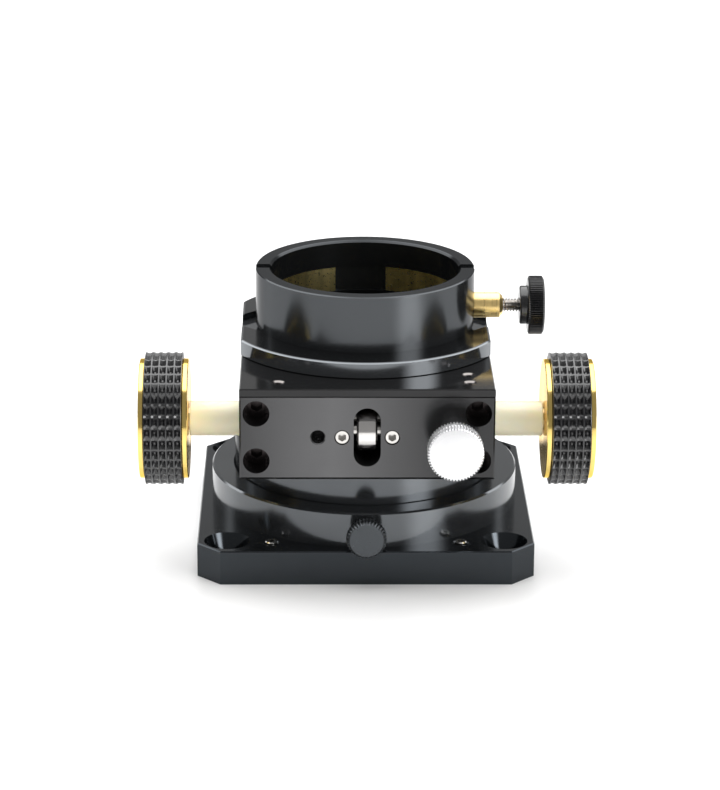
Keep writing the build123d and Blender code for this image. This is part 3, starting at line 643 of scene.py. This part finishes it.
# Brightness of the room and of its two lights. A pair is where a ramp begins and where it is
# full, in degrees for those marked so and otherwise as a coordinate of the unit direction.
ROOM_FRONT = 0.3
ROOM_BACK = 0.42
ROOM_Y = (-0.25, 0.45)
BOX_LIGHT = 2.95
BOX_FRONT_DEGREES = (71, 75)
BOX_BACK_DEGREES = (152, 146)
BOX_X = (0.86, 0.78)
WINDOW_LIGHT = 9.5
WINDOW_DEGREES = 47
WINDOW_SIDE_DEGREES = (20, 4)
WINDOW_FOOT_Z = (0.08, 0.14)
WINDOW_HEAD_Z = (0.5, 0.42)


def add_floor():
    """Large plain pale floor."""
    bpy.ops.mesh.primitive_plane_add(size=FLOOR_SIZE, location=(0, 0, 0))
    floor = bpy.context.object
    floor.name = "floor"
    floor.data.materials.append(Finish("floor_white", (0.88, 0.88, 0.88), 0.0, 0.25).mat)


def add_world():
    """Soft studio: a wide box light overhead, a low window at the right front and a dim room."""
    world = bpy.data.worlds.new("studio")
    bpy.context.scene.world = world
    world.use_nodes = True
    tree = world.node_tree

    def link(source, target):
        tree.links.new(source, target)

    def math_node(operation, a, b=None):
        made = tree.nodes.new("ShaderNodeMath")
        made.operation = operation
        for index, value in enumerate((a, b)):
            if isinstance(value, (int, float)):
                made.inputs[index].default_value = value
            elif value is not None:
                link(value, made.inputs[index])
        return made.outputs[0]

    def ramp(value, start, end, low=0.0, high=1.0):
        made = tree.nodes.new("ShaderNodeMapRange")
        made.interpolation_type = "SMOOTHSTEP"
        for socket, number in (("From Min", start), ("From Max", end), ("To Min", low), ("To Max", high)):
            made.inputs[socket].default_value = number
        link(value, made.inputs["Value"])
        return made.outputs["Result"]

    coords = tree.nodes.new("ShaderNodeTexCoord")
    split = tree.nodes.new("ShaderNodeSeparateXYZ")
    link(coords.outputs["Generated"], split.inputs[0])
    x, y, z = split.outputs
    forward = math_node("MULTIPLY", y, -1.0)
    degrees = 180 / math.pi
    # angle from the front horizon over the top to the back horizon
    over = math_node("MULTIPLY", math_node("ARCTAN2", z, forward), degrees)
    room = ramp(y, *ROOM_Y, ROOM_FRONT, ROOM_BACK)
    box = math_node("MULTIPLY", ramp(over, *BOX_FRONT_DEGREES), ramp(over, *BOX_BACK_DEGREES))
    box = math_node("MULTIPLY", box, ramp(math_node("ABSOLUTE", x), *BOX_X))
    # the window is also seen in the floor's sheen
    azimuth = math_node("MULTIPLY", math_node("ARCTAN2", x, forward), degrees)
    aside = math_node("ABSOLUTE", math_node("SUBTRACT", azimuth, WINDOW_DEGREES))
    window = ramp(aside, *WINDOW_SIDE_DEGREES)
    window = math_node("MULTIPLY", window, ramp(z, *WINDOW_FOOT_Z))
    window = math_node("MULTIPLY", window, ramp(z, *WINDOW_HEAD_Z))
    total = math_node("ADD", room, math_node("MULTIPLY", box, BOX_LIGHT))
    total = math_node("ADD", total, math_node("MULTIPLY", window, WINDOW_LIGHT))
    link(total, tree.nodes["Background"].inputs["Color"])
    tree.nodes["Background"].inputs["Strength"].default_value = 1.0


# focal length in picture heights, place in millimetres, and the camera's own axes
FOCAL = 3106.08 / 790.0
CAMERA_PLACE = (-14.37, -810.85, 311.94)
CAMERA_BACK = (-0.015385, -0.947270, 0.320063)
CAMERA_RIGHT = (0.999881, -0.014343, 0.005611)


def add_camera():
    """Camera in front, a little left of centre and 19 degrees above."""
    data = bpy.data.cameras.new("camera")
    data.sensor_fit = "VERTICAL"
    data.sensor_height = 36.0
    data.lens = FOCAL * data.sensor_height
    data.clip_start = 0.05
    data.clip_end = 20.0
    camera = bpy.data.objects.new("camera", data)
    back = Vector(CAMERA_BACK).normalized()
    right = Vector(CAMERA_RIGHT)
    right = (right - back * right.dot(back)).normalized()
    up = back.cross(right)
    place = Vector(CAMERA_PLACE) * MM
    camera.matrix_world = Matrix((
        (right.x, up.x, back.x, place.x), (right.y, up.y, back.y, place.y),
        (right.z, up.z, back.z, place.z), (0, 0, 0, 1)))
    bpy.context.collection.objects.link(camera)
    bpy.context.scene.camera = camera


add_floor()
add_world()
add_camera()
bpy.context.scene.view_settings.view_transform = "Standard"
